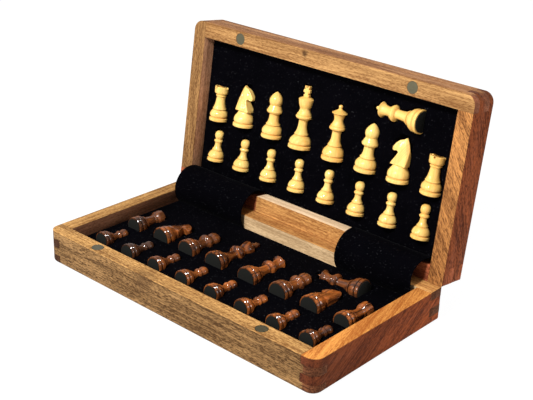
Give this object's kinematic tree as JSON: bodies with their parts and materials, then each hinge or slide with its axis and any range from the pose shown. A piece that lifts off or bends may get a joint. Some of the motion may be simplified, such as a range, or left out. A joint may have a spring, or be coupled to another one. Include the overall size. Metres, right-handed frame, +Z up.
{
  "type": "folding chess box",
  "caption": "Folding wooden chess box whose two hinged halves open into the playing board, with a velvet insert in each half holding the chess pieces lying down.",
  "frame": {"origin": "centre of the lower half's underside, which is half of the playing board", "axes": "+Z up, +X along the hinge to the right as seen from the open side, +Y from the front wall to the hinge"},
  "size_m": [0.305, 0.208, 0.1869],
  "materials": {
    "rosewood": "oiled, fine straight grain",
    "plywood": "plain",
    "dark_veneer": "satin",
    "light_veneer": "satin",
    "steel_sheet": "plain",
    "velvet_foam": "velvet pile",
    "velvet_cloth": "velvet pile",
    "magnet": "satin",
    "brass": "satin",
    "pin_steel": "plain",
    "screw_brass": "satin",
    "boxwood": "polished",
    "stained_boxwood": "polished"
  },
  "bodies": {
    "lower_half": {"base_front_wall": "rosewood", "base_hinge_wall": "rosewood", "base_left_wall": "rosewood", "base_right_wall": "rosewood", "base_board_panel": "plywood", "base_dark_veneer": "dark_veneer", "base_light_squares": "light_veneer", "base_steel_sheet": "steel_sheet", "base_velvet_insert": "velvet_foam", "base_closure_magnets": "magnet", "base_hinge_leaves": "brass", "hinge_pins": "pin_steel", "base_hinge_screws": "screw_brass", "hinge_flaps": "velvet_cloth"},
    "lid": {"lid_front_wall": "rosewood", "lid_hinge_wall": "rosewood", "lid_left_wall": "rosewood", "lid_right_wall": "rosewood", "lid_board_panel": "plywood", "lid_dark_veneer": "dark_veneer", "lid_light_squares": "light_veneer", "lid_steel_sheet": "steel_sheet", "lid_velvet_insert": "velvet_foam", "lid_closure_magnets": "magnet", "lid_hinge_leaves": "brass", "lid_hinge_screws": "screw_brass"},
    "dark_rook_left_piece": {"dark_rook_left": "stained_boxwood"},
    "dark_knight_left_piece": {"dark_knight_left": "stained_boxwood"},
    "dark_bishop_left_piece": {"dark_bishop_left": "stained_boxwood"},
    "dark_king_piece": {"dark_king": "stained_boxwood"},
    "dark_queen_piece": {"dark_queen": "stained_boxwood"},
    "dark_bishop_right_piece": {"dark_bishop_right": "stained_boxwood"},
    "dark_knight_right_piece": {"dark_knight_right": "stained_boxwood"},
    "dark_rook_right_piece": {"dark_rook_right": "stained_boxwood"},
    "dark_spare_queen_piece": {"dark_spare_queen": "stained_boxwood"},
    "dark_pawn_1_piece": {"dark_pawn_1": "stained_boxwood"},
    "dark_pawn_2_piece": {"dark_pawn_2": "stained_boxwood"},
    "dark_pawn_3_piece": {"dark_pawn_3": "stained_boxwood"},
    "dark_pawn_4_piece": {"dark_pawn_4": "stained_boxwood"},
    "dark_pawn_5_piece": {"dark_pawn_5": "stained_boxwood"},
    "dark_pawn_6_piece": {"dark_pawn_6": "stained_boxwood"},
    "dark_pawn_7_piece": {"dark_pawn_7": "stained_boxwood"},
    "dark_pawn_8_piece": {"dark_pawn_8": "stained_boxwood"},
    "light_rook_left_piece": {"light_rook_left": "boxwood"},
    "light_knight_left_piece": {"light_knight_left": "boxwood"},
    "light_bishop_left_piece": {"light_bishop_left": "boxwood"},
    "light_king_piece": {"light_king": "boxwood"},
    "light_queen_piece": {"light_queen": "boxwood"},
    "light_bishop_right_piece": {"light_bishop_right": "boxwood"},
    "light_knight_right_piece": {"light_knight_right": "boxwood"},
    "light_rook_right_piece": {"light_rook_right": "boxwood"},
    "light_spare_queen_piece": {"light_spare_queen": "boxwood"},
    "light_pawn_1_piece": {"light_pawn_1": "boxwood"},
    "light_pawn_2_piece": {"light_pawn_2": "boxwood"},
    "light_pawn_3_piece": {"light_pawn_3": "boxwood"},
    "light_pawn_4_piece": {"light_pawn_4": "boxwood"},
    "light_pawn_5_piece": {"light_pawn_5": "boxwood"},
    "light_pawn_6_piece": {"light_pawn_6": "boxwood"},
    "light_pawn_7_piece": {"light_pawn_7": "boxwood"},
    "light_pawn_8_piece": {"light_pawn_8": "boxwood"}
  },
  "joints": [
    {"name": "lid_hinge", "type": "hinge", "parent": "lower_half", "child": "lid", "pos_m": [0, 0.0791, 0.0301], "axis": [-1, 0, 0], "range_deg": [-97.4, 82.6], "deforming": ["hinge_flaps"]},
    {"name": "dark_rook_left_lift", "type": "slide", "parent": "lower_half", "child": "dark_rook_left_piece", "axis": [0, 0, 1], "range_m": [0, 0.03]},
    {"name": "dark_knight_left_lift", "type": "slide", "parent": "lower_half", "child": "dark_knight_left_piece", "axis": [0, 0, 1], "range_m": [0, 0.03]},
    {"name": "dark_bishop_left_lift", "type": "slide", "parent": "lower_half", "child": "dark_bishop_left_piece", "axis": [0, 0, 1], "range_m": [0, 0.03]},
    {"name": "dark_king_lift", "type": "slide", "parent": "lower_half", "child": "dark_king_piece", "axis": [0, 0, 1], "range_m": [0, 0.03]},
    {"name": "dark_queen_lift", "type": "slide", "parent": "lower_half", "child": "dark_queen_piece", "axis": [0, 0, 1], "range_m": [0, 0.03]},
    {"name": "dark_bishop_right_lift", "type": "slide", "parent": "lower_half", "child": "dark_bishop_right_piece", "axis": [0, 0, 1], "range_m": [0, 0.03]},
    {"name": "dark_knight_right_lift", "type": "slide", "parent": "lower_half", "child": "dark_knight_right_piece", "axis": [0, 0, 1], "range_m": [0, 0.03]},
    {"name": "dark_rook_right_lift", "type": "slide", "parent": "lower_half", "child": "dark_rook_right_piece", "axis": [0, 0, 1], "range_m": [0, 0.03]},
    {"name": "dark_spare_queen_lift", "type": "slide", "parent": "lower_half", "child": "dark_spare_queen_piece", "axis": [0, 0, 1], "range_m": [0, 0.03]},
    {"name": "dark_pawn_1_lift", "type": "slide", "parent": "lower_half", "child": "dark_pawn_1_piece", "axis": [0, 0, 1], "range_m": [0, 0.03]},
    {"name": "dark_pawn_2_lift", "type": "slide", "parent": "lower_half", "child": "dark_pawn_2_piece", "axis": [0, 0, 1], "range_m": [0, 0.03]},
    {"name": "dark_pawn_3_lift", "type": "slide", "parent": "lower_half", "child": "dark_pawn_3_piece", "axis": [0, 0, 1], "range_m": [0, 0.03]},
    {"name": "dark_pawn_4_lift", "type": "slide", "parent": "lower_half", "child": "dark_pawn_4_piece", "axis": [0, 0, 1], "range_m": [0, 0.03]},
    {"name": "dark_pawn_5_lift", "type": "slide", "parent": "lower_half", "child": "dark_pawn_5_piece", "axis": [0, 0, 1], "range_m": [0, 0.03]},
    {"name": "dark_pawn_6_lift", "type": "slide", "parent": "lower_half", "child": "dark_pawn_6_piece", "axis": [0, 0, 1], "range_m": [0, 0.03]},
    {"name": "dark_pawn_7_lift", "type": "slide", "parent": "lower_half", "child": "dark_pawn_7_piece", "axis": [0, 0, 1], "range_m": [0, 0.03]},
    {"name": "dark_pawn_8_lift", "type": "slide", "parent": "lower_half", "child": "dark_pawn_8_piece", "axis": [0, 0, 1], "range_m": [0, 0.03]},
    {"name": "light_rook_left_lift", "type": "slide", "parent": "lid", "child": "light_rook_left_piece", "axis": [0, -0.9917, 0.1288], "range_m": [0, 0.03]},
    {"name": "light_knight_left_lift", "type": "slide", "parent": "lid", "child": "light_knight_left_piece", "axis": [0, -0.9917, 0.1288], "range_m": [0, 0.03]},
    {"name": "light_bishop_left_lift", "type": "slide", "parent": "lid", "child": "light_bishop_left_piece", "axis": [0, -0.9917, 0.1288], "range_m": [0, 0.03]},
    {"name": "light_king_lift", "type": "slide", "parent": "lid", "child": "light_king_piece", "axis": [0, -0.9917, 0.1288], "range_m": [0, 0.03]},
    {"name": "light_queen_lift", "type": "slide", "parent": "lid", "child": "light_queen_piece", "axis": [0, -0.9917, 0.1288], "range_m": [0, 0.03]},
    {"name": "light_bishop_right_lift", "type": "slide", "parent": "lid", "child": "light_bishop_right_piece", "axis": [0, -0.9917, 0.1288], "range_m": [0, 0.03]},
    {"name": "light_knight_right_lift", "type": "slide", "parent": "lid", "child": "light_knight_right_piece", "axis": [0, -0.9917, 0.1288], "range_m": [0, 0.03]},
    {"name": "light_rook_right_lift", "type": "slide", "parent": "lid", "child": "light_rook_right_piece", "axis": [0, -0.9917, 0.1288], "range_m": [0, 0.03]},
    {"name": "light_spare_queen_lift", "type": "slide", "parent": "lid", "child": "light_spare_queen_piece", "axis": [0, -0.9917, 0.1288], "range_m": [0, 0.03]},
    {"name": "light_pawn_1_lift", "type": "slide", "parent": "lid", "child": "light_pawn_1_piece", "axis": [0, -0.9917, 0.1288], "range_m": [0, 0.03]},
    {"name": "light_pawn_2_lift", "type": "slide", "parent": "lid", "child": "light_pawn_2_piece", "axis": [0, -0.9917, 0.1288], "range_m": [0, 0.03]},
    {"name": "light_pawn_3_lift", "type": "slide", "parent": "lid", "child": "light_pawn_3_piece", "axis": [0, -0.9917, 0.1288], "range_m": [0, 0.03]},
    {"name": "light_pawn_4_lift", "type": "slide", "parent": "lid", "child": "light_pawn_4_piece", "axis": [0, -0.9917, 0.1288], "range_m": [0, 0.03]},
    {"name": "light_pawn_5_lift", "type": "slide", "parent": "lid", "child": "light_pawn_5_piece", "axis": [0, -0.9917, 0.1288], "range_m": [0, 0.03]},
    {"name": "light_pawn_6_lift", "type": "slide", "parent": "lid", "child": "light_pawn_6_piece", "axis": [0, -0.9917, 0.1288], "range_m": [0, 0.03]},
    {"name": "light_pawn_7_lift", "type": "slide", "parent": "lid", "child": "light_pawn_7_piece", "axis": [0, -0.9917, 0.1288], "range_m": [0, 0.03]},
    {"name": "light_pawn_8_lift", "type": "slide", "parent": "lid", "child": "light_pawn_8_piece", "axis": [0, -0.9917, 0.1288], "range_m": [0, 0.03]}
  ]
}
